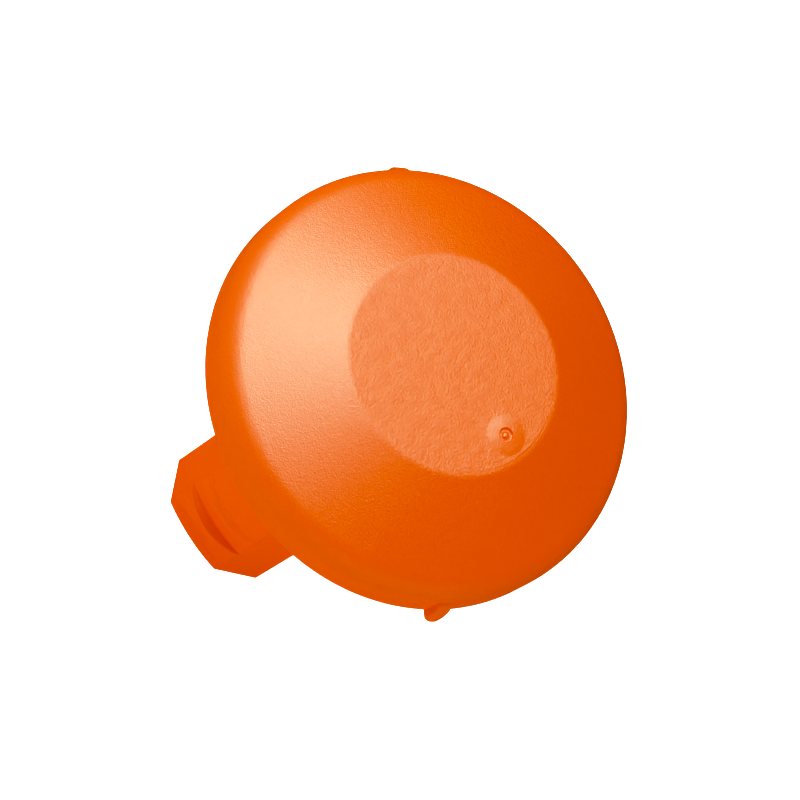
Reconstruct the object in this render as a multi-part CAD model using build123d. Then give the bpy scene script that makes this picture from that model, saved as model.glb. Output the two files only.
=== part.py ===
"""Trimmer spool cover: one plastic moulding with a broad domed cap on a hollow catch stem.

Millimetres, +Z up. The origin is the middle of the stem's free end and the crown faces +Z.
The stem's flats face +X and -X, and its catches face +Y and -Y.
"""
import os
from math import cos, radians, sin, sqrt, tan

from build123d import *

# Cap
cap_diameter = 60.0
cap_height = 13.8          # rear edge up to the flat crown
crown_diameter = 30.4      # flat that runs on the ground
flank_angle = 24.6         # fall of the conical flank round the crown, in degrees
edge_radius = 4.7          # round between the flank and the side wall
rear_edge_radius = 0.6
wall = 2.2

# Stem
overall_height = 73.8      # free end of the stem up to the crown
stem_diameter = 23.0       # over the two round faces
stem_across_flats = 20.7
facet_across = 22.0        # over a pair of the slanted facets beside the flats
facet_angle = 42.6         # turn of the facets from the flats, in degrees
bore_diameter = 15.0
bore_chamfer = 0.8
root_flare = 1.2           # height of the flare where the stem meets the inside of the cap

# Catch on each round face of the stem, heights from the free end
lead_in_height = 6.7       # top of the ramp that starts at the free end
lead_in_depth = 1.1
lead_in_run_out = 5.9      # half width of the ramp, where it fades into the round face
pilot_height = 1.9         # straight stretch below the ramp
catch_height = 8.5         # edge of the ledge that holds the cover in the hub
catch_opening = 5.7        # width of the groove at the stem's surface
catch_depth = 1.3
catch_run_out = 6.9        # half length of the groove, where it fades into the round face
ledge_angle = 30.0         # slope of the ledge, in degrees from square to the axis
relief_base = 14.9         # lower edge of the shallow relief above the groove
relief_height = 16.2       # its deepest line
relief_depth = 0.5
relief_top = 17.8          # where it fades out towards the cap
relief_run_out = 6.9

# Webs between the stem and the cap
web_count = 4
web_thickness = 1.6
web_setback = 3.0          # lower edge of a web above the cap's rear edge

# Lugs on the rear of the rim
lug_angle = -31.0          # direction of the first lug from +X, in degrees
lug_width = 2.0
lug_height = 1.6           # stands out from the side wall
lug_length = 4.8           # runs up the side wall from the rear edge
lug_overhang = 0.5         # reaches behind the rear edge

# Gate mark on the crown
gate_offset = 11.5         # from the axis
gate_angle = 3.2           # direction from +X, in degrees
gate_boss_diameter = 5.6
gate_boss_height = 0.18
gate_crater_diameter = 2.1
gate_crater_depth = 0.35
gate_pip_diameter = 1.1
gate_pip_height = 0.3

# Worked out from the sizes above
cap_radius = cap_diameter / 2
stem_radius = stem_diameter / 2
rear_height = overall_height - cap_height
slope = radians(flank_angle)
seated = (Align.CENTER, Align.CENTER, Align.MIN)


def cap_section(inset, bottom):
    """Half section of the cap, set in from its outer surface by a wall."""
    radius = cap_radius - inset
    top = overall_height - inset
    crown_radius = crown_diameter / 2 - inset * tan(slope / 2)
    shoulder = top - (radius - crown_radius) * tan(slope)
    outline = Polyline(
        (0, bottom), (radius, bottom), (radius, shoulder), (crown_radius, top), (0, top), close=True
    )
    section = make_face(outline)
    corner = section.vertices().sort_by_distance((radius, shoulder))[0]
    return fillet(corner, edge_radius - inset)


def spun(section):
    """Solid of revolution about the cap's axis, from a half section drawn in X and Y."""
    return revolve(Plane.XZ * section, Axis.Z)


def cap_outside():
    section = cap_section(0, rear_height)
    rear_corner = section.vertices().sort_by_distance((cap_radius, rear_height))[0]
    return spun(fillet(rear_corner, rear_edge_radius))


def cap_inside():
    return spun(cap_section(wall, rear_height - wall))


def stem_outline():
    """Round section with a flat on each side and slanted facets between the flats and the round faces."""
    long_side = 2 * stem_diameter
    outline = Circle(stem_radius) & Rectangle(stem_across_flats, long_side)
    for turn in (facet_angle, -facet_angle):
        outline = outline & Rot(0, 0, turn) * Rectangle(facet_across, long_side)
    return outline


def stem():
    """Post from the free end up into the crown, flared where it meets the cap."""
    ceiling = overall_height - wall
    post = extrude(stem_outline(), ceiling + wall / 2)
    flare_base = Plane.XY.offset(ceiling - root_flare) * stem_outline()
    return post + extrude(flare_base, root_flare + wall / 2, taper=-45)


def bore():
    depth = overall_height - wall
    hole = extrude(Circle(bore_diameter / 2), depth)
    radius = bore_diameter / 2
    mouth = Cone(radius + bore_chamfer, radius, bore_chamfer, align=seated)
    return hole + mouth


def webs(outside):
    """Radial plates that tie the stem to the flank and the side wall."""
    inner = bore_diameter / 2 + wall
    length = cap_radius - wall / 2 - inner
    bottom = rear_height + web_setback
    plate = Pos(inner, 0, bottom) * Box(
        length, web_thickness, cap_height, align=(Align.MIN, Align.CENTER, Align.MIN)
    )
    plate = plate & outside
    first = 180 / web_count
    return [Rot(0, 0, first + 360 / web_count * i) * plate for i in range(web_count)]


def face_groove(depth, run_out, profile):
    """Cutter for a groove that is deepest at +Y and fades out at run_out to each side.

    Its bottom is an arc flatter than the stem. profile(bottom, brim) gives the points of
    its section as radius and height, where bottom and brim are radii of the cutter.
    """
    fall = stem_radius - sqrt(stem_radius**2 - run_out**2) - depth
    bottom = (run_out**2 + fall**2) / (2 * fall)
    brim = bottom + 2 * depth
    section = make_face(Polyline(*profile(bottom, brim), close=True))
    centre = stem_radius - depth - bottom
    return Pos(0, centre, 0) * spun(section)


def catch_groove():
    """Groove with a steep ledge that faces the cap and a long ramp that faces the free end."""

    def profile(bottom, brim):
        ledge_run = catch_depth * tan(radians(ledge_angle))
        deepest = catch_height + ledge_run
        ramp_top = catch_height + catch_opening
        return [
            (bottom, deepest),
            (brim, catch_height - ledge_run),
            (brim, 2 * ramp_top - deepest),
        ]

    return face_groove(catch_depth, catch_run_out, profile)


def relief():
    """Shallow dip between the catch groove and the plain part of the stem."""

    def profile(bottom, brim):
        return [
            (bottom, relief_height),
            (brim, 2 * relief_base - relief_height),
            (brim, 2 * relief_top - relief_height),
        ]

    return face_groove(relief_depth, relief_run_out, profile)


def lead_in():
    """Ramp that guides the catch into the hub, with a short straight stretch at the free end."""

    def profile(bottom, brim):
        return [
            (bottom, -lead_in_height),
            (bottom, pilot_height),
            (brim, 2 * lead_in_height - pilot_height),
            (brim, -lead_in_height),
        ]

    return face_groove(lead_in_depth, lead_in_run_out, profile)


def both_faces(cutter):
    return [cutter, Rot(0, 0, 180) * cutter]


def lug():
    """Small fin on the rear of the rim with a round nose, sloping off towards the crown."""
    bottom = rear_height - lug_overhang
    top = rear_height + lug_length
    inner = cap_radius - wall / 2
    outer = cap_radius + lug_height
    nose = lug_width / 2
    plan = Pos(outer - nose, 0) * Circle(nose)
    plan += Pos((inner + outer - nose) / 2, 0) * Rectangle(outer - nose - inner, lug_width)
    fin = extrude(Plane.XY.offset(bottom) * plan, top - bottom)
    side = Pos(inner, rear_height) * Ellipse(outer - inner, lug_length)
    side += Pos((inner + outer) / 2, (bottom + rear_height) / 2) * Rectangle(outer - inner, lug_overhang)
    return fin & extrude(Plane.XZ * side, lug_width, both=True)


def lugs():
    fin = lug()
    return [Rot(0, 0, lug_angle) * fin, Rot(0, 0, lug_angle + 180) * fin]


def gate_place():
    angle = radians(gate_angle)
    return Pos(gate_offset * cos(angle), gate_offset * sin(angle), overall_height)


def gate_boss():
    """Low lens-shaped swelling round the gate."""
    half = gate_boss_diameter / 2
    ball = (half**2 + gate_boss_height**2) / (2 * gate_boss_height)
    lens = Pos(0, 0, gate_boss_height - ball) * Sphere(ball)
    core = Cylinder(half + wall, wall, align=seated)
    return gate_place() * Pos(0, 0, -wall / 2) * (core & (Pos(0, 0, wall / 2) * lens))


def gate_crater():
    return gate_place() * Pos(0, 0, gate_boss_height - gate_crater_depth) * Cylinder(
        gate_crater_diameter / 2, wall, align=seated
    )


def gate_pip():
    height = gate_pip_height + wall / 4
    pip = Cylinder(gate_pip_diameter / 2, height, align=seated)
    pip = fillet(pip.edges().group_by(Axis.Z)[-1], gate_pip_diameter / 4)
    return gate_place() * Pos(0, 0, gate_boss_height - gate_crater_depth - wall / 4) * pip


def spool_cover():
    outside = cap_outside()
    body = outside - cap_inside()
    body = body + stem() + webs(outside) + lugs()
    body = body - bore() - both_faces(catch_groove()) - both_faces(relief()) - both_faces(lead_in())
    return body + gate_boss() - gate_crater() + gate_pip()


os.makedirs("parts", exist_ok=True)
export_step(spool_cover(), "parts/spool_cover.step")
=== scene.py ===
import math

import bmesh
import bpy
from mathutils import Matrix, Quaternion, Vector


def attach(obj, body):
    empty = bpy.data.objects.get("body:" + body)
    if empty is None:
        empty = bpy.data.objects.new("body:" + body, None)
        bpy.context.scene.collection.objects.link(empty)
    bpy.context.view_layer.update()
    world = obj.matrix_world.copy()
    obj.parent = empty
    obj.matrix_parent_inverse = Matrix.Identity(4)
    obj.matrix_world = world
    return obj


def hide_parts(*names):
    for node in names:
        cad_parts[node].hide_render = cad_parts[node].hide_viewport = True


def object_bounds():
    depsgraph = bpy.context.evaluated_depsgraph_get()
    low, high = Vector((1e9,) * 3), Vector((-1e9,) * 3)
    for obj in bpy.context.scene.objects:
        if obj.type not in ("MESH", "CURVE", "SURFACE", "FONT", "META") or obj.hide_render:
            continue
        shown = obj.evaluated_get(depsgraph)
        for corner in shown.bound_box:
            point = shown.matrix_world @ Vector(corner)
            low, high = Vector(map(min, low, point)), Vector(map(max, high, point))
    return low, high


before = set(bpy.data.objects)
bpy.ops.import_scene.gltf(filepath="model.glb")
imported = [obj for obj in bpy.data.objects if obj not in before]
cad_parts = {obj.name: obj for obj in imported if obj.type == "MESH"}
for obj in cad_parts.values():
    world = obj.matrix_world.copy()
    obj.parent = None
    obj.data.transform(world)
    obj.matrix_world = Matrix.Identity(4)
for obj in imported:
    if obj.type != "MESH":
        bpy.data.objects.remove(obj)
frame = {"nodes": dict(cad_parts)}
cadLow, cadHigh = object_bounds()
mm = 0.001
print("frame loaded:", ", ".join(frame["nodes"]))

# what the finished faces are called, in the order of the material slots
finishes = ["crown", "gate", "flank", "inside", "stem"]


def softMin(a, b, blend):
    share = max(blend - abs(a - b), 0) / blend
    return min(a, b) - share * share * blend / 4


def softMax(a, b, blend):
    return -softMin(-a, -b, blend)


def spaced(start, stop, step):  # even steps from start up to, not including, stop
    count = max(1, round(abs(stop - start) / step))
    return [start + (stop - start) * i / count for i in range(count)]


def arcPoints(centre, radius, fromAngle, toAngle, count):  # section points as (radius, height)
    turns = [fromAngle + (toAngle - fromAngle) * i / count for i in range(count + 1)]
    return [(centre[0] + radius * math.cos(t), centre[1] + radius * math.sin(t)) for t in turns]


# cap: sizes in mm, heights from the stem's free end
cap = dict(
    radius=(cadHigh.x - cadLow.x) / 2 / mm,
    crownHeight=73.8,
    crownRadius=15.2,
    crownDome=0.25,  # rise of the crown's middle over its edge
    height=13.8,
    flankAngle=24.6,
    flankBulge=0.2,  # how far the flank bows out of a straight cone
    edgeRadius=4.7,
    rearRadius=0.6,
    rearFace=0.5,  # flat stretch of the rear edge beside its outer round
    innerRearRadius=0.3,
    creaseRadius=0.5,  # half width of the softened edge round the crown
    wall=2.2,
)

# rings of the cap's mesh: how many in a stretch, or the step between them in mm
capRows = dict(
    slide=14,  # over the crown, from the gate mark to the edge
    crease=(0, 0.17, 0.33, 0.5, 0.67, 0.83),  # shares of the way over the softened edge
    flank=18,
    edge=22,
    wallStep=0.7,
    rear=8,
    innerRear=5,
    innerWallStep=1.2,
    innerEdge=10,
    innerFlank=12,
)

# stem: sizes in mm, heights from its free end
stem = dict(
    radius=11.5,
    halfFlats=10.35,
    halfFacets=11.0,
    facetAngle=math.radians(42.6),
    boreRadius=7.5,
    boreChamfer=0.8,
    endRound=0.25,
    rootFlare=1.2,
    leadHeight=6.7,
    leadDepth=1.1,
    leadRunOut=5.9,  # half width of the lead-in, where it fades into the round face
    pilotHeight=1.9,
    catchHeight=8.5,
    catchOpening=5.7,
    catchDepth=1.3,
    runOut=6.9,  # half length of a groove, where it fades into the round face
    ledgeAngle=30.0,
    reliefBase=14.9,
    reliefHeight=16.2,
    reliefDepth=0.5,
    reliefTop=17.8,
    edgeSoft=0.05,  # rounding of the long edges
    grooveSoft=0.28,  # rounding of the groove's lips and corners
    leadSoft=0.12,
    reliefSoft=0.12,  # rounding of the relief's bottom, as a share of its depth
    reliefLip=0.06,
    grooveFace=0.6,  # sine of the angle from the flats past which the grooves lie
    leastSide=0.05,  # keeps the flats' reach finite on the round faces
)

# rings of the stem's mesh, from the cap down to its end: sizes in mm
stemRows = dict(
    flare=6,
    stretches=[(20, 2.6), (18.4, 0.4), (12, 0.13), (10, 0.16), (7.9, 0.06), (1.2, 0.17)],  # (down to, step)
    lastStep=0.3,
    endRound=5,
    mouth=0.08,  # flat beside the bore's chamfer
    mouthRise=0.03,
    boreStep=4.0,
    boreEnd=(1.0, 0.66, 0.3),  # rings over the end of the bore, as shares of its radius
)

# gate mark on the crown: sizes in mm
gate = dict(
    offset=11.5,
    angle=math.radians(3.2),
    bossRadius=2.8,
    bossHeight=0.18,
    craterRadius=1.05,
    craterDepth=0.35,
    craterRound=0.22,  # where the crater's floor starts to rise, in from its wall
    craterRise=6.0,  # how steeply it rises
    craterMargin=0.3,  # finely ringed stretch outside the crater
    pipRadius=0.55,
    pipHeight=0.3,
    pipFall=4.0,  # slope of the pip's side
    pipSoft=0.06,
    bossSoft=0.05,
    innerReach=0.08,  # radius of the first ring
    fineStep=0.055,
    bossStep=0.16,
)

# columns of the mesh round the axis
columns = dict(around=192, nearEdge=math.radians(1.6), edgeStep=math.radians(0.27))


def columnAngles():
    # the corner between a flat and a facet, and the one between a facet and a round face
    facet = stem["facetAngle"]
    first = math.atan((stem["halfFacets"] / stem["halfFlats"] - math.cos(facet)) / math.sin(facet))
    second = facet + math.acos(stem["halfFacets"] / stem["radius"])
    corners = []
    for c in (first, second):
        corners += [c, math.pi - c, math.pi + c, 2 * math.pi - c]
    near, step = columns["nearEdge"], columns["edgeStep"]
    even = [2 * math.pi * i / columns["around"] for i in range(columns["around"])]
    angles = [a for a in even if all(abs(a - c) > near + step for c in corners)]
    for c in corners:
        angles += spaced(c - near, c + near + step, step)
    return sorted(angles)


angles = columnAngles()


def ringAt(radius, height, centre=(0, 0)):
    return [(centre[0] + radius * math.cos(a), centre[1] + radius * math.sin(a), height) for a in angles]


def gateHeight(reach):  # height of the gate mark above the crown, by distance from its middle
    half, rise = gate["bossRadius"], gate["bossHeight"]
    ball = (half * half + rise * rise) / (2 * rise)
    boss = rise - ball + math.sqrt(ball * ball - reach * reach)
    floor = rise - gate["craterDepth"]
    climb = max(reach - gate["craterRadius"] + gate["craterRound"], 0)
    crater = floor + climb**2 * gate["craterRise"]
    pipEdge = min(reach / gate["pipRadius"], 1)
    drop = max(reach - gate["pipRadius"], 0) * gate["pipFall"]
    pip = floor + gate["pipHeight"] * (1 - pipEdge**4) - drop
    return softMin(boss, softMax(crater, pip, gate["pipSoft"]), gate["bossSoft"])


def gatePlace():
    return gate["offset"] * math.cos(gate["angle"]), gate["offset"] * math.sin(gate["angle"])


def domed(rings):  # lifts the rings onto the crown's faint dome
    edge, rise = cap["crownRadius"], cap["crownDome"]
    lifted = []
    for ring, kind in rings:
        points = [(x, y, z + rise * max(1 - (x * x + y * y) / edge**2, 0)) for x, y, z in ring]
        lifted.append((points, kind))
    return lifted


def crownRings():
    top = cap["crownHeight"]
    place = gatePlace()
    margin = gate["craterRadius"] + gate["craterMargin"]
    reaches = spaced(gate["innerReach"], margin, gate["fineStep"])
    reaches += spaced(margin, gate["bossRadius"], gate["bossStep"])
    rings = []
    for reach in reaches:
        rings.append((ringAt(reach, top + gateHeight(reach), place), "gate"))
    # from the gate's boss out to the crown's edge the rings slide over to the axis
    last = cap["crownRadius"] - cap["creaseRadius"]
    for share in spaced(0, 1, 1 / capRows["slide"]):
        middle = (place[0] * (1 - share), place[1] * (1 - share))
        reach = gate["bossRadius"] + (last - gate["bossRadius"]) * share
        rings.append((ringAt(reach, top, middle), "crown"))
    return domed(rings)


def flankArc():  # centre and radius of the flank's shallow arc, and centre of the edge round
    slope = math.radians(cap["flankAngle"])
    start = Vector((cap["crownRadius"], cap["crownHeight"]))
    run = cap["radius"] - cap["crownRadius"]
    chord = Vector((run, -run * math.tan(slope)))
    bulge = cap["flankBulge"]
    radius = chord.length_squared / (8 * bulge) + bulge / 2
    inward = Vector((-math.sin(slope), -math.cos(slope)))
    centre = start + chord / 2 + inward * (radius - bulge)
    roundX = cap["radius"] - cap["edgeRadius"]
    roundZ = centre.y + math.sqrt((radius - cap["edgeRadius"]) ** 2 - (roundX - centre.x) ** 2)
    return centre, radius, Vector((roundX, roundZ))


def capRings():
    centre, radius, edgeMiddle = flankArc()
    rear = cap["crownHeight"] - cap["height"]
    wall = cap["wall"]
    outer = cap["radius"]
    inner = outer - wall

    def turnOf(x, z):
        return math.atan2(z - centre.y, x - centre.x)

    edgeTurn = turnOf(*edgeMiddle)
    crownTurn = turnOf(cap["crownRadius"], cap["crownHeight"])
    # softened crease, flank, edge round, side wall, rear edge
    lip = crownTurn - cap["creaseRadius"] / radius
    lipPoint = (centre.x + radius * math.cos(lip), centre.y + radius * math.sin(lip))
    outside = [creasePoint(share, lipPoint) for share in capRows["crease"]]
    outside += arcPoints(centre, radius, lip, edgeTurn, capRows["flank"])[:-1]
    outside += arcPoints(edgeMiddle, cap["edgeRadius"], edgeTurn, 0, capRows["edge"])
    rearRound = cap["rearRadius"]
    rearMiddle = (outer - rearRound, rear + rearRound)
    outside += [(outer, z) for z in spaced(edgeMiddle.y, rear + rearRound, capRows["wallStep"])][1:]
    outside += arcPoints(rearMiddle, rearRound, 0, -math.pi / 2, capRows["rear"])
    # rear face, inner edge, inner wall, inner round, inner flank, ceiling
    lipRound = cap["innerRearRadius"]
    lipMiddle = (inner + lipRound, rear + lipRound)
    inside = [(outer - rearRound - cap["rearFace"], rear)]
    inside += arcPoints(lipMiddle, lipRound, -math.pi / 2, -math.pi, capRows["innerRear"])
    inside += [(inner, z) for z in spaced(rear + lipRound, edgeMiddle.y, capRows["innerWallStep"])][1:]
    inside += arcPoints(edgeMiddle, cap["edgeRadius"] - wall, 0, edgeTurn, capRows["innerEdge"])
    ceiling = cap["crownHeight"] - wall
    ceilingTurn = math.asin((ceiling - centre.y) / (radius - wall))
    inside += arcPoints(centre, radius - wall, edgeTurn, ceilingTurn, capRows["innerFlank"])[1:]
    rings = [(ringAt(x, z), "flank") for x, z in outside]
    return rings + [(ringAt(x, z), "inside") for x, z in inside]


def creasePoint(share, lipPoint):  # quadratic curve that softens the edge round the crown
    a = Vector((cap["crownRadius"] - cap["creaseRadius"], cap["crownHeight"]))
    b = Vector((cap["crownRadius"], cap["crownHeight"]))
    c = Vector(lipPoint)
    point = a * (1 - share) ** 2 + b * 2 * share * (1 - share) + c * share**2
    return point.x, point.y


def grooveArc(depth, runOut):  # bottom radius and centre offset of a groove that fades out at runOut
    radius = stem["radius"]
    fall = radius - math.sqrt(radius**2 - runOut**2) - depth
    bottom = (runOut**2 + fall**2) / (2 * fall)
    return bottom, radius - depth - bottom


def arcReach(centre, reach, face):  # distance from the axis to a groove's arc, in a direction
    return centre * face + math.sqrt(reach**2 - centre**2 * (1 - face**2))


leadBottom, leadCentre = grooveArc(stem["leadDepth"], stem["leadRunOut"])
catchBottom, catchCentre = grooveArc(stem["catchDepth"], stem["runOut"])
reliefBottom, reliefCentre = grooveArc(stem["reliefDepth"], stem["runOut"])


def stemReach(angle, z):  # distance from the axis to the stem's surface
    face, side = abs(math.sin(angle)), abs(math.cos(angle))
    reach = softMin(stem["radius"], stem["halfFlats"] / max(side, stem["leastSide"]), stem["edgeSoft"])
    toFacet = math.cos(math.atan2(face, side) - stem["facetAngle"])
    reach = softMin(reach, stem["halfFacets"] / toFacet, stem["edgeSoft"])
    if face < stem["grooveFace"]:
        return reach
    soft = stem["grooveSoft"]
    # lead-in: a short straight stretch at the free end, then a ramp
    ramp = (z - stem["pilotHeight"]) / (stem["leadHeight"] - stem["pilotHeight"]) * stem["leadDepth"]
    lead = leadBottom + softMax(0, ramp, stem["leadSoft"])
    reach = softMin(reach, arcReach(leadCentre, lead, face), stem["leadSoft"])
    # catch groove: a steep ledge that faces the cap, then a long ramp
    depth = stem["catchDepth"]
    ledgeRun = depth * math.tan(math.radians(stem["ledgeAngle"]))
    deepest = stem["catchHeight"] + ledgeRun
    rampRun = stem["catchOpening"] - ledgeRun
    groove = catchBottom + depth * softMax((deepest - z) / ledgeRun, (z - deepest) / rampRun, soft / depth)
    reach = softMin(reach, arcReach(catchCentre, groove, face), soft)
    # shallow relief above the groove
    base, low, top = stem["reliefBase"], stem["reliefHeight"], stem["reliefTop"]
    rise = softMax((low - z) / (low - base), (z - low) / (top - low), stem["reliefSoft"])
    dip = reliefBottom + stem["reliefDepth"] * rise
    return softMin(reach, arcReach(reliefCentre, dip, face), stem["reliefLip"])


def stemRing(z, inset=0.0, flare=0.0):
    reaches = [stemReach(a, z) - inset + flare for a in angles]
    return [(r * math.cos(a), r * math.sin(a), z) for r, a in zip(reaches, angles)]


def stemRings():
    ceiling = cap["crownHeight"] - cap["wall"]
    flare = stem["rootFlare"]
    rings = []
    for turn in spaced(0, 1, 1 / stemRows["flare"]):  # hollow round where the stem meets the cap
        drop = flare * math.sin(turn * math.pi / 2)
        out = flare * (1 - math.sin(math.acos(1 - drop / flare))) if drop else flare
        rings.append((stemRing(ceiling - drop, flare=out), "inside"))
    start, heights = ceiling - flare, []
    for stop, step in stemRows["stretches"] + [(stem["endRound"], stemRows["lastStep"])]:
        heights += spaced(start, stop, step)
        start = stop
    rings += [(stemRing(z), "stem") for z in heights]
    quarter = math.pi / 2
    for turn in spaced(0, quarter, quarter / stemRows["endRound"]) + [quarter]:  # rounded end edge
        drop = stem["endRound"] * (1 - math.sin(turn))
        rings.append((stemRing(drop, inset=stem["endRound"] * (1 - math.cos(turn))), "stem"))
    bore, chamfer = stem["boreRadius"], stem["boreChamfer"]
    rings.append((ringAt(bore + chamfer + stemRows["mouth"], 0.0), "stem"))
    rings.append((ringAt(bore + chamfer, stemRows["mouthRise"]), "stem"))
    rings.append((ringAt(bore, chamfer), "inside"))
    rings += [(ringAt(bore, z), "inside") for z in spaced(chamfer, ceiling, stemRows["boreStep"])[1:]]
    rings += [(ringAt(bore * share, ceiling), "inside") for share in stemRows["boreEnd"]]
    return rings


def meshObject(name, bm):
    bmesh.ops.recalc_face_normals(bm, faces=bm.faces)
    mesh = bpy.data.meshes.new(name)
    bm.to_mesh(mesh)
    bm.free()
    made = bpy.data.objects.new(name, mesh)
    bpy.context.scene.collection.objects.link(made)
    return made


def mouldingBody():  # one closed skin of rings, from the gate's pip round the rim to the end of the bore
    rings = crownRings() + capRings() + stemRings()
    bm = bmesh.new()
    rows = [[bm.verts.new(Vector(p) * mm) for p in ring] for ring, _ in rings]
    count = len(angles)
    for i, (upper, lower) in enumerate(zip(rows, rows[1:])):
        kind = finishes.index(rings[i][1])
        for j in range(count):
            k = (j + 1) % count
            face = bm.faces.new((upper[j], lower[j], lower[k], upper[k]))
            face.material_index = kind
    place = gatePlace()
    pipRise = (gateHeight(0) - gateHeight(gate["innerReach"])) * mm
    pipHeight = sum(v.co.z for v in rows[0]) / count + pipRise
    pipTop = bm.verts.new((place[0] * mm, place[1] * mm, pipHeight))
    boreEnd = bm.verts.new(Vector((0, 0, cap["crownHeight"] - cap["wall"])) * mm)
    for middle, ring, kind in ((pipTop, rows[0], "gate"), (boreEnd, rows[-1], "inside")):
        for j in range(count):
            face = bm.faces.new((middle, ring[j], ring[(j + 1) % count]))
            face.material_index = finishes.index(kind)
    return meshObject("spoolCoverMoulding", bm)


# webs and rim lugs: sizes in mm
webs = dict(
    count=4,
    thickness=1.6,
    setback=3.0,
    draft=0.12,  # how much thinner each side is at the free edge
    inner=9.7,  # starts inside the stem's wall
    arcSteps=6,
)
lugs = dict(
    angles=(-31.0, 149.0),  # degrees from +X
    width=2.0,
    height=1.6,
    length=4.8,
    overhang=0.5,
    soft=0.5,  # rounding of the heel
    slopeSoft=0.25,
    heelSoft=0.2,
    leastDepth=0.02,  # keeps the fin's front off its back where it fades into the wall
    across=9,  # mesh steps to each side of the middle
    along=22,
)


def addWeb(bm, turn):  # a radial plate that is thinner at its free edge
    centre, radius, edgeMiddle = flankArc()
    rear = cap["crownHeight"] - cap["height"]
    sink = cap["wall"] / 2
    middle = cap["edgeRadius"] - sink
    edgeTurn = math.atan2(edgeMiddle.y - centre.y, edgeMiddle.x - centre.x)
    topTurn = math.asin((cap["crownHeight"] - sink - centre.y) / (radius - sink))
    freeEdge = rear + webs["setback"]
    outline = [(webs["inner"], freeEdge), (cap["radius"] - sink, freeEdge)]
    outline += arcPoints(edgeMiddle, middle, 0, edgeTurn, webs["arcSteps"])
    outline += arcPoints(centre, radius - sink, edgeTurn, topTurn, webs["arcSteps"])[1:]
    outline += [(webs["inner"], cap["crownHeight"] - sink)]
    spin = Matrix.Rotation(turn, 4, "Z")
    sides = []
    for side in (-1, 1):
        corners = []
        for x, z in outline:
            half = webs["thickness"] / 2 - (webs["draft"] if z <= freeEdge else 0)
            corners.append(bm.verts.new(spin @ Vector((x, side * half, z)) * mm))
        sides.append(corners)
        bm.faces.new(corners)
    for i in range(len(outline)):
        k = (i + 1) % len(outline)
        bm.faces.new((sides[0][i], sides[0][k], sides[1][k], sides[1][i]))
    for face in bm.faces:
        face.material_index = finishes.index("inside")


def addLug(bm, turn):  # a small fin with a round nose, high at the rear and sloping off to the crown
    rear = cap["crownHeight"] - cap["height"]
    root = cap["radius"] - cap["wall"] / 2
    tip = cap["radius"] + lugs["height"]
    half = lugs["width"] / 2
    bottom, top = rear - lugs["overhang"], rear + lugs["length"]
    spin = Matrix.Rotation(math.radians(turn), 4, "Z")
    sideSteps, upSteps = lugs["across"], lugs["along"]
    across = [half * math.sin(math.pi / 2 * i / sideSteps) for i in range(-sideSteps, sideSteps + 1)]
    shares = [(1 - math.cos(math.pi * i / upSteps)) / 2 for i in range(upSteps + 1)]
    up = [bottom + (top - bottom) * share for share in shares]
    front, back = [], []
    for z in up:
        rise = max(z - rear, 0) / lugs["length"]
        slope = root + (tip - root) * math.sqrt(max(1 - rise * rise, 0))
        heel = tip - max(lugs["soft"] - (z - bottom), 0) ** 2 / lugs["soft"]
        frontRow, backRow = [], []
        for y in across:
            nose = tip - half + math.sqrt(max(half * half - y * y, 0))
            reach = softMin(softMin(nose, slope, lugs["slopeSoft"]), heel, lugs["heelSoft"])
            reach = max(reach, root + lugs["leastDepth"])
            frontRow.append(bm.verts.new(spin @ Vector((reach, y, z)) * mm))
            backRow.append(bm.verts.new(spin @ Vector((root, y, z)) * mm))
        front.append(frontRow)
        back.append(backRow)
    made = []
    for i in range(len(up) - 1):
        for j in range(len(across) - 1):
            made.append((front[i][j], front[i][j + 1], front[i + 1][j + 1], front[i + 1][j]))
            made.append((back[i][j], back[i + 1][j], back[i + 1][j + 1], back[i][j + 1]))
        for j in (0, -1):
            made.append((front[i][j], front[i + 1][j], back[i + 1][j], back[i][j]))
    for i in (0, -1):
        for j in range(len(across) - 1):
            made.append((front[i][j], front[i][j + 1], back[i][j + 1], back[i][j]))
    for corners in made:
        bm.faces.new(corners).material_index = finishes.index("flank")


def websAndLugs():
    bm = bmesh.new()
    for i in range(webs["count"]):
        addWeb(bm, math.pi / webs["count"] * (2 * i + 1))
    for turn in lugs["angles"]:
        addLug(bm, turn)
    return meshObject("websAndLugs", bm)


def weld(body, added):  # joins the added solids into the body's skin
    join = body.modifiers.new("weld", "BOOLEAN")
    join.operation = "UNION"
    join.solver = "EXACT"
    join.object = added
    graph = bpy.context.evaluated_depsgraph_get()
    joined = bpy.data.meshes.new_from_object(body.evaluated_get(graph))
    body.modifiers.clear()
    body.data = joined
    bpy.data.objects.remove(added)


sharpAngle = math.radians(34)  # edges bent more than this stay crisp


def spoolCover():
    body = mouldingBody()
    weld(body, websAndLugs())
    body.data.shade_smooth()
    body.data.set_sharp_from_angle(angle=sharpAngle)
    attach(body, "root")
    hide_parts("spool_cover")
    print("cover skin:", len(body.data.polygons), "faces")
    return body


cover = spoolCover()


def newGroup(name, inputs, outputs):
    group = bpy.data.node_groups.new(name, "ShaderNodeTree")
    for kind, label, start in inputs:
        socket = group.interface.new_socket(label, in_out="INPUT", socket_type="NodeSocket" + kind)
        socket.default_value = start
    for kind, label in outputs:
        group.interface.new_socket(label, in_out="OUTPUT", socket_type="NodeSocket" + kind)
    return group, group.nodes.new("NodeGroupInput"), group.nodes.new("NodeGroupOutput")


def addNode(tree, kind, **settings):
    made = tree.nodes.new("ShaderNode" + kind)
    for label, value in settings.items():
        setattr(made, label, value)
    return made


def mathNode(tree, operation, first, second):
    made = addNode(tree, "Math", operation=operation)
    for socket, value in zip(made.inputs, (first, second)):
        if isinstance(value, (int, float)):
            socket.default_value = value
        else:
            tree.links.new(value, socket)
    return made.outputs[0]


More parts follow.
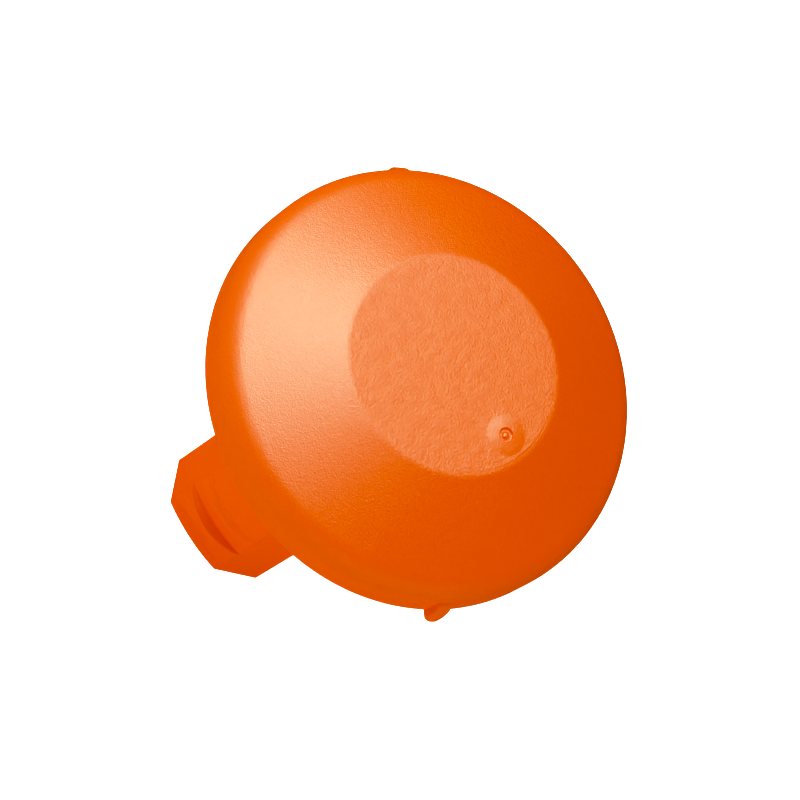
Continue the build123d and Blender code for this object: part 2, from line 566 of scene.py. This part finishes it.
# noise settings of the groups below
noise = dict(fineDetail=2.5, fineRough=0.7, coarseDetail=1.5, cloudDetail=4.0)


def mouldGrainGroup():  # spark-eroded mould grain: fine pits over a coarser swell
    group, entry, leave = newGroup(
        "mouldGrain",
        [("Float", "Fine Scale", 4000.0), ("Float", "Coarse Scale", 900.0), ("Float", "Coarse Share", 0.4)],
        [("Float", "Height"), ("Float", "Mask")],
    )
    place = addNode(group, "TexCoord")
    fine = addNode(group, "TexNoise")
    fine.inputs["Detail"].default_value = noise["fineDetail"]
    fine.inputs["Roughness"].default_value = noise["fineRough"]
    coarse = addNode(group, "TexNoise")
    coarse.inputs["Detail"].default_value = noise["coarseDetail"]
    for texture, label in ((fine, "Fine Scale"), (coarse, "Coarse Scale")):
        group.links.new(place.outputs["Object"], texture.inputs["Vector"])
        group.links.new(entry.outputs[label], texture.inputs["Scale"])
    swell = mathNode(group, "MULTIPLY", coarse.outputs["Fac"], entry.outputs["Coarse Share"])
    height = mathNode(group, "ADD", fine.outputs["Fac"], swell)
    both = mathNode(group, "ADD", fine.outputs["Fac"], coarse.outputs["Fac"])
    group.links.new(height, leave.inputs["Height"])
    group.links.new(mathNode(group, "MULTIPLY", both, 0.5), leave.inputs["Mask"])
    return group


def colourDriftGroup():  # slow drift of the pigment, with flecks that follow the grain
    group, entry, leave = newGroup(
        "colourDrift",
        [
            ("Color", "Light", (1, 1, 1, 1)),
            ("Color", "Deep", (0, 0, 0, 1)),
            ("Float", "Scale", 60.0),
            ("Float", "Grain", 0.5),
            ("Float", "Fleck", 0.0),
        ],
        [("Color", "Colour")],
    )
    place = addNode(group, "TexCoord")
    cloud = addNode(group, "TexNoise")
    cloud.inputs["Detail"].default_value = noise["cloudDetail"]
    group.links.new(place.outputs["Object"], cloud.inputs["Vector"])
    group.links.new(entry.outputs["Scale"], cloud.inputs["Scale"])
    mix = addNode(group, "Mix", data_type="RGBA")
    grain = mathNode(group, "SUBTRACT", entry.outputs["Grain"], 0.5)
    fleck = mathNode(group, "MULTIPLY", grain, entry.outputs["Fleck"])
    group.links.new(mathNode(group, "ADD", cloud.outputs["Fac"], fleck), mix.inputs["Factor"])
    group.links.new(entry.outputs["Light"], mix.inputs[6])  # the colour sockets A and B, and the result
    group.links.new(entry.outputs["Deep"], mix.inputs[7])
    group.links.new(mix.outputs[2], leave.inputs["Colour"])
    return group


mouldGrain = mouldGrainGroup()
colourDrift = colourDriftGroup()

# plastic: one row of values for each finish of the moulding
orange = dict(light=(0.93, 0.126, 0.003, 1), deep=(0.87, 0.110, 0.002, 1), index=1.85)
# swing: how far the grain moves the roughness; fine, coarse: grains per metre; relief: bump height in mm
# the first value of each row is painted shade: the base colour is scaled by it, and the stem and the inside
# are painted darker as if in the cap's shade, though all is one plastic
plastics = dict(
    crown=dict(
        paintedShade=1.0, rough=0.41, swing=0.5, fine=3300, coarse=650,
        share=0.7, relief=0.095, specular=1.0, fleck=10.0,
    ),
    gate=dict(
        paintedShade=1.0, rough=0.33, swing=0.1, fine=3300, coarse=1000,
        share=0.5, relief=0.05, specular=1.0, fleck=2.0,
    ),
    flank=dict(
        paintedShade=1.0, rough=0.37, swing=0.2, fine=4400, coarse=1500,
        share=0.4, relief=0.08, specular=1.0, fleck=0.6,
    ),
    inside=dict(
        paintedShade=0.96, rough=0.46, swing=0.06, fine=3000, coarse=800,
        share=0.5, relief=0.012, specular=0.3, fleck=0.4,
    ),
    stem=dict(
        paintedShade=0.93, rough=0.4, swing=0.06, fine=2800, coarse=600,
        share=0.5, relief=0.008, specular=0.3, fleck=0.4,
    ),
)


def orangePlastic(finish):
    values = plastics[finish]
    made = bpy.data.materials.new("orangePlastic." + finish)
    made.use_nodes = True
    tree = made.node_tree
    shader = tree.nodes["Principled BSDF"]
    shader.inputs["IOR"].default_value = orange["index"]
    shader.inputs["Specular IOR Level"].default_value = values["specular"]
    drift = addNode(tree, "Group", node_tree=colourDrift)
    # painted shade: the finish's base colours are darkened by its shade factor
    for label, colour in (("Light", orange["light"]), ("Deep", orange["deep"])):
        drift.inputs[label].default_value = [part * values["paintedShade"] for part in colour]
    tree.links.new(drift.outputs["Colour"], shader.inputs["Base Color"])
    drift.inputs["Fleck"].default_value = values["fleck"]
    grain = addNode(tree, "Group", node_tree=mouldGrain)
    tree.links.new(grain.outputs["Mask"], drift.inputs["Grain"])
    grain.inputs["Fine Scale"].default_value = values["fine"]
    grain.inputs["Coarse Scale"].default_value = values["coarse"]
    grain.inputs["Coarse Share"].default_value = values["share"]
    swing = mathNode(tree, "MULTIPLY", grain.outputs["Mask"], values["swing"])
    rough = mathNode(tree, "ADD", swing, values["rough"] - values["swing"] / 2)
    tree.links.new(rough, shader.inputs["Roughness"])
    bump = addNode(tree, "Bump")
    bump.inputs["Strength"].default_value = 1.0
    bump.inputs["Distance"].default_value = values["relief"] * mm
    tree.links.new(grain.outputs["Height"], bump.inputs["Height"])
    tree.links.new(bump.outputs["Normal"], shader.inputs["Normal"])
    return made


for finish in finishes:
    cover.data.materials.append(orangePlastic(finish))
print("plastic finishes:", ", ".join(finishes))

# studio: metres, watts
studio = dict(
    floorSize=6.0,
    floorGap=0.0002,  # keeps the floor clear of the stem's end
    floorColour=(0.8, 0.8, 0.8, 1),
    floorRough=0.9,
    floorShine=0.1,
    floorGlow=0.85,  # lights the part from below
    floorWhite=1.2,  # more of it for the camera, so that the floor looks white
    backdrop=(1.6, 1.6, 1.6, 1),
    ambient=0.16,
    aimShare=0.8,  # how far up the part the lights point
)
# shines: lights the gloss of the plastic; fills: lights its colour
softboxes = [
    dict(
        name="keySoftbox",
        azimuth=-80,
        elevation=50.5,
        roll=31,
        distance=0.6,
        size=(0.74, 0.24),
        power=3.05,
        tint=(1.0, 0.98, 0.88),
        shines=True,
        fills=False,
    ),
    dict(
        name="rearSoftbox",
        azimuth=-144,
        elevation=61,
        roll=0,
        distance=0.7,
        size=(0.5, 0.4),
        power=1.8,
        tint=(1.0, 0.98, 0.88),
        shines=True,
        fills=False,
    ),
    dict(
        name="frontFill",
        azimuth=62,
        elevation=3,
        roll=0,
        distance=0.9,
        size=(1.0, 0.5),
        power=5.0,
        tint=(1.0, 1.0, 1.0),
        shines=False,
        fills=True,
    ),
    dict(
        name="leftFill",
        azimuth=-72,
        elevation=8,
        roll=0,
        distance=0.9,
        size=(0.8, 0.3),
        power=3.8,
        tint=(1.0, 1.0, 1.0),
        shines=False,
        fills=True,
    ),
    dict(
        name="overheadFill",
        azimuth=-110,
        elevation=71,
        roll=0,
        distance=0.7,
        size=(0.4, 0.4),
        power=5.1,
        tint=(1.0, 1.0, 1.0),
        shines=False,
        fills=True,
    ),
    dict(
        name="warmBounce",
        azimuth=15,
        elevation=2,
        roll=0,
        distance=0.14,
        size=(0.2, 0.03),
        power=0.03,
        tint=(1.0, 0.3, 0.1),
        shines=False,
        fills=True,
    ),
]


def directionOf(azimuth, elevation):  # azimuth 0 is on the -Y side, 90 on the +X side, in degrees
    a, e = math.radians(azimuth), math.radians(elevation)
    return Vector((math.sin(a) * math.cos(e), -math.cos(a) * math.cos(e), math.sin(e)))


def studioFloor():
    bm = bmesh.new()
    bmesh.ops.create_grid(bm, x_segments=8, y_segments=8, size=studio["floorSize"] / 2)
    made = meshObject("studioFloor", bm)
    made.location.z = cadLow.z - studio["floorGap"]
    paint = bpy.data.materials.new("paleFloor")
    paint.use_nodes = True
    shader = paint.node_tree.nodes["Principled BSDF"]
    shader.inputs["Base Color"].default_value = studio["floorColour"]
    shader.inputs["Roughness"].default_value = studio["floorRough"]
    shader.inputs["Specular IOR Level"].default_value = studio["floorShine"]
    shader.inputs["Emission Color"].default_value = (1, 1, 1, 1)
    path = addNode(paint.node_tree, "LightPath")
    white = mathNode(paint.node_tree, "MULTIPLY", path.outputs["Is Camera Ray"], studio["floorWhite"])
    glow = mathNode(paint.node_tree, "ADD", white, studio["floorGlow"])
    paint.node_tree.links.new(glow, shader.inputs["Emission Strength"])
    made.data.materials.append(paint)
    made.visible_glossy = False  # keeps the plastic's colour deep, as black flags would


def studioLights():
    target = Vector((0, 0, cap["crownHeight"] * studio["aimShare"])) * mm
    for box in softboxes:
        lamp = bpy.data.lights.new(box["name"], "AREA")
        lamp.shape = "RECTANGLE"
        lamp.size, lamp.size_y = box["size"]
        lamp.energy = box["power"]
        lamp.color = box["tint"]
        made = bpy.data.objects.new(box["name"], lamp)
        bpy.context.scene.collection.objects.link(made)
        aim = directionOf(box["azimuth"], box["elevation"])
        made.location = target + aim * box["distance"]
        spin = Quaternion((0, 0, 1), math.radians(box["roll"]))
        made.rotation_euler = (aim.to_track_quat("Z", "Y") @ spin).to_euler()
        made.visible_camera = False
        made.visible_glossy = box["shines"]
        made.visible_diffuse = box["fills"]


def studioWorld():  # pale behind the object, dim where it only lights the plastic
    world = bpy.data.worlds.new("studio")
    bpy.context.scene.world = world
    world.use_nodes = True
    world.cycles_visibility.glossy = False
    tree = world.node_tree
    dim = tree.nodes["Background"]
    dim.inputs["Color"].default_value = (1, 1, 1, 1)
    dim.inputs["Strength"].default_value = studio["ambient"]
    pale = addNode(tree, "Background")
    pale.inputs["Color"].default_value = studio["backdrop"]
    path = addNode(tree, "LightPath")
    mix = addNode(tree, "MixShader")
    tree.links.new(path.outputs["Is Camera Ray"], mix.inputs[0])
    tree.links.new(dim.outputs[0], mix.inputs[1])
    tree.links.new(pale.outputs[0], mix.inputs[2])
    tree.links.new(mix.outputs[0], tree.nodes["World Output"].inputs["Surface"])


# camera: degrees, metres, and the crown's middle in pixels of the 800 x 800 picture
view = dict(
    elevation=60.5,
    roll=33.04,
    lens=180.0,
    sensor=36.0,
    depth=0.52584,
    clipStart=0.01,
    picture=800,
    crownPixel=(454.56, 364.70),
)


def photoCamera():
    data = bpy.data.cameras.new("photoCamera")
    data.lens = view["lens"]
    data.sensor_width = view["sensor"]
    data.clip_start = view["clipStart"]
    made = bpy.data.objects.new("photoCamera", data)
    bpy.context.scene.collection.objects.link(made)
    back = directionOf(0, view["elevation"])
    # the cap's axis leans to the right in the picture, by the roll from level
    axisAway = (Vector((0, 0, 1)) - back * back.z).normalized()
    sideways = axisAway.cross(back)
    turn = math.radians(view["roll"])
    right = axisAway * math.cos(turn) + sideways * math.sin(turn)
    up = back.cross(right)
    spin = Matrix((right, up, back)).transposed()
    focal = view["lens"] / view["sensor"] * view["picture"]
    x = (view["crownPixel"][0] - view["picture"] / 2) / focal * view["depth"]
    y = (view["picture"] / 2 - view["crownPixel"][1]) / focal * view["depth"]
    crown = Vector((0, 0, cap["crownHeight"] * mm))
    made.matrix_world = Matrix.Translation(crown - spin @ Vector((x, y, -view["depth"]))) @ spin.to_4x4()
    bpy.context.scene.camera = made


# developing: scene light in, picture light out
develop = dict(
    gamma=0.8,
    blueBlack=0.07,
    redShoulder=[(0.75, 0.75), (1.05, 0.89), (1.35, 0.96), (1.6, 1.0)],
)


def developPhoto():  # contrast and saturation of the photo; the white floor stays white
    settings = bpy.context.scene.view_settings
    settings.view_transform = "Standard"
    settings.gamma = develop["gamma"]
    settings.use_curve_mapping = True
    mapping = settings.curve_mapping
    mapping.black_level = (0, 0, develop["blueBlack"])
    mapping.use_clip = False
    red = mapping.curves[0]
    red.points[1].location = develop["redShoulder"][-1]
    for x, y in develop["redShoulder"][:-1]:
        red.points.new(x, y)
    mapping.update()


studioFloor()
studioLights()
studioWorld()
photoCamera()
developPhoto()
print("studio set")
